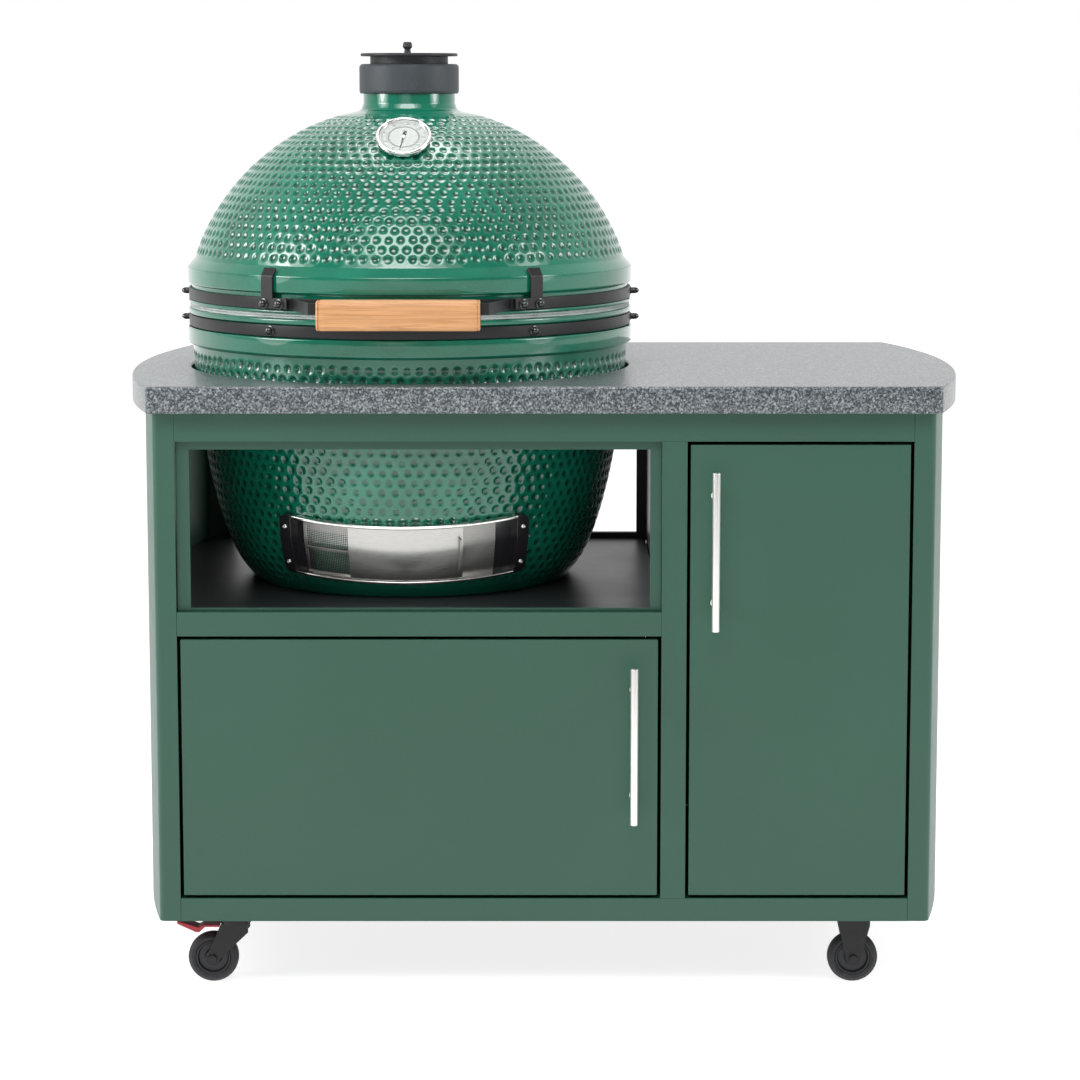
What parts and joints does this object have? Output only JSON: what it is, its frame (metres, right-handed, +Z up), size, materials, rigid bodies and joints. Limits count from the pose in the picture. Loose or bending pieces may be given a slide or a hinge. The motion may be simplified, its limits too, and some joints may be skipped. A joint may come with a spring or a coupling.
{
  "type": "kamado charcoal grill island",
  "caption": "Egg-shaped ceramic charcoal grill with a hinged dimpled dome, set in a green steel cabinet with a stone worktop, cupboard doors and castors.",
  "frame": {"origin": "on the floor, under the centre of the whole object's box: the middle of the worktop in X and Y", "axes": "+Z up, +X to the right seen from the front, +Y towards the back; the doors and the dome's handle face -Y"},
  "size_m": [1.2848, 0.842, 1.4179],
  "materials": {
    "glaze": "gloss",
    "powder_coat": "satin",
    "black_steel": "satin",
    "stainless": "brushed",
    "cast_iron": "matte",
    "fireclay": "matte",
    "felt": "felted",
    "wood": "oiled",
    "speckled_stone": "satin, fine speckle",
    "thermometer": "polished bezel, white dial",
    "lens": "clear",
    "tread": "matte",
    "pedal_red": "satin"
  },
  "bodies": {
    "island": {"worktop": "speckled_stone", "side_panel_left": "powder_coat", "side_panel_right": "powder_coat", "top_rail": "powder_coat", "bottom_rail": "powder_coat", "sill_rail": "powder_coat", "middle_post": "powder_coat", "bay_trim": "powder_coat", "floor_panel": "black_steel", "grill_shelf": "black_steel", "divider_panel": "black_steel", "bay_rear_frame": "black_steel", "rear_panel_left": "powder_coat", "rear_panel_right": "powder_coat", "ceramic_base": "glaze", "firebox": "fireclay", "fire_grate": "cast_iron", "fire_ring": "fireclay", "cooking_grid": "stainless", "lower_band": "black_steel", "lower_gasket": "felt", "draft_door_frame": "stainless", "hinge_lower_bracket": "black_steel", "hinge_pin": "stainless", "hinge_spring_left": "stainless", "hinge_spring_right": "stainless", "castor_front_left_plate": "black_steel", "castor_rear_left_plate": "black_steel", "castor_front_right_fork": "black_steel", "castor_rear_right_fork": "black_steel"},
    "dome": {"ceramic_dome": "glaze", "upper_band": "black_steel", "upper_gasket": "felt", "hinge_upper_bracket": "black_steel", "handle_bracket_left": "black_steel", "handle_bracket_right": "black_steel", "rim_clip_left": "black_steel", "rim_clip_right": "black_steel", "handle_grip": "wood", "thermometer_case": "thermometer", "thermometer_lens": "lens", "vent_collar": "cast_iron", "vent_pivot_screw": "stainless"},
    "thermometer_needle": {"thermometer_needle": "black_steel"},
    "vent_ring": {"vent_swing_ring": "cast_iron"},
    "vent_disc": {"vent_disc": "cast_iron"},
    "draft_panel": {"draft_panel": "stainless"},
    "draft_screen": {"draft_screen": "stainless"},
    "left_door": {"left_door": "powder_coat", "left_door_handle": "stainless"},
    "right_door": {"right_door": "powder_coat", "right_door_handle": "stainless"},
    "front_left_fork": {"castor_front_left_fork": "black_steel"},
    "front_left_wheel": {"castor_front_left_wheel": "tread"},
    "front_left_brake": {"castor_front_left_brake": "pedal_red"},
    "rear_left_fork": {"castor_rear_left_fork": "black_steel"},
    "rear_left_wheel": {"castor_rear_left_wheel": "tread"},
    "rear_left_brake": {"castor_rear_left_brake": "pedal_red"},
    "front_right_wheel": {"castor_front_right_wheel": "tread"},
    "rear_right_wheel": {"castor_rear_right_wheel": "tread"}
  },
  "joints": [
    {"name": "dome_hinge", "type": "hinge", "parent": "island", "child": "dome", "pos_m": [-0.2116, 0.409, 1.01105], "axis": [-1, 0, 0], "range_deg": [0, 70]},
    {"name": "needle_turn", "type": "hinge", "parent": "dome", "child": "thermometer_needle", "pos_m": [-0.2116, -0.1945, 1.2663], "axis": [0, 0.6428, -0.766], "range_deg": [0, 300]},
    {"name": "vent_swing", "type": "hinge", "parent": "dome", "child": "vent_ring", "pos_m": [-0.2116, 0.067, 1.3873], "axis": [0, 0, 1], "range_deg": [0, 100]},
    {"name": "vent_disc_turn", "type": "hinge", "parent": "vent_ring", "child": "vent_disc", "pos_m": [-0.2116, 0, 1.3986], "axis": [0, 0, 1], "range_deg": [0, 36]},
    {"name": "draft_panel_slide", "type": "hinge", "parent": "island", "child": "draft_panel", "pos_m": [-0.2116, 0.048, 0.5803], "axis": [0, -0.225, 0.9744], "range_deg": [-15, 14]},
    {"name": "draft_screen_slide", "type": "hinge", "parent": "island", "child": "draft_screen", "pos_m": [-0.2116, 0.048, 0.5803], "axis": [0, -0.225, 0.9744], "range_deg": [-3, 28]},
    {"name": "left_door_hinge", "type": "hinge", "parent": "island", "child": "left_door", "pos_m": [-0.54, -0.36, 0.34], "axis": [0, 0, -1], "range_deg": [0, 110]},
    {"name": "right_door_hinge", "type": "hinge", "parent": "island", "child": "right_door", "pos_m": [0.54, -0.36, 0.486], "axis": [0, 0, 1], "range_deg": [0, 110]},
    {"name": "front_left_swivel", "type": "hinge", "parent": "island", "child": "front_left_fork", "pos_m": [-0.468, -0.31, 0.096], "axis": [0, 0, 1], "continuous": true},
    {"name": "front_left_roll", "type": "hinge", "parent": "front_left_fork", "child": "front_left_wheel", "pos_m": [-0.502, -0.31, 0.038], "axis": [0, 1, 0], "continuous": true},
    {"name": "front_left_pedal", "type": "hinge", "parent": "front_left_fork", "child": "front_left_brake", "pos_m": [-0.496, -0.31, 0.088], "axis": [0, -1, 0], "range_deg": [0, 10]},
    {"name": "rear_left_swivel", "type": "hinge", "parent": "island", "child": "rear_left_fork", "pos_m": [-0.468, 0.31, 0.096], "axis": [0, 0, 1], "continuous": true},
    {"name": "rear_left_roll", "type": "hinge", "parent": "rear_left_fork", "child": "rear_left_wheel", "pos_m": [-0.502, 0.31, 0.038], "axis": [0, 1, 0], "continuous": true},
    {"name": "rear_left_pedal", "type": "hinge", "parent": "rear_left_fork", "child": "rear_left_brake", "pos_m": [-0.496, 0.31, 0.088], "axis": [0, -1, 0], "range_deg": [0, 10]},
    {"name": "front_right_roll", "type": "hinge", "parent": "island", "child": "front_right_wheel", "pos_m": [0.468, -0.31, 0.038], "axis": [0, 1, 0], "continuous": true},
    {"name": "rear_right_roll", "type": "hinge", "parent": "island", "child": "rear_right_wheel", "pos_m": [0.468, 0.31, 0.038], "axis": [0, 1, 0], "continuous": true}
  ]
}
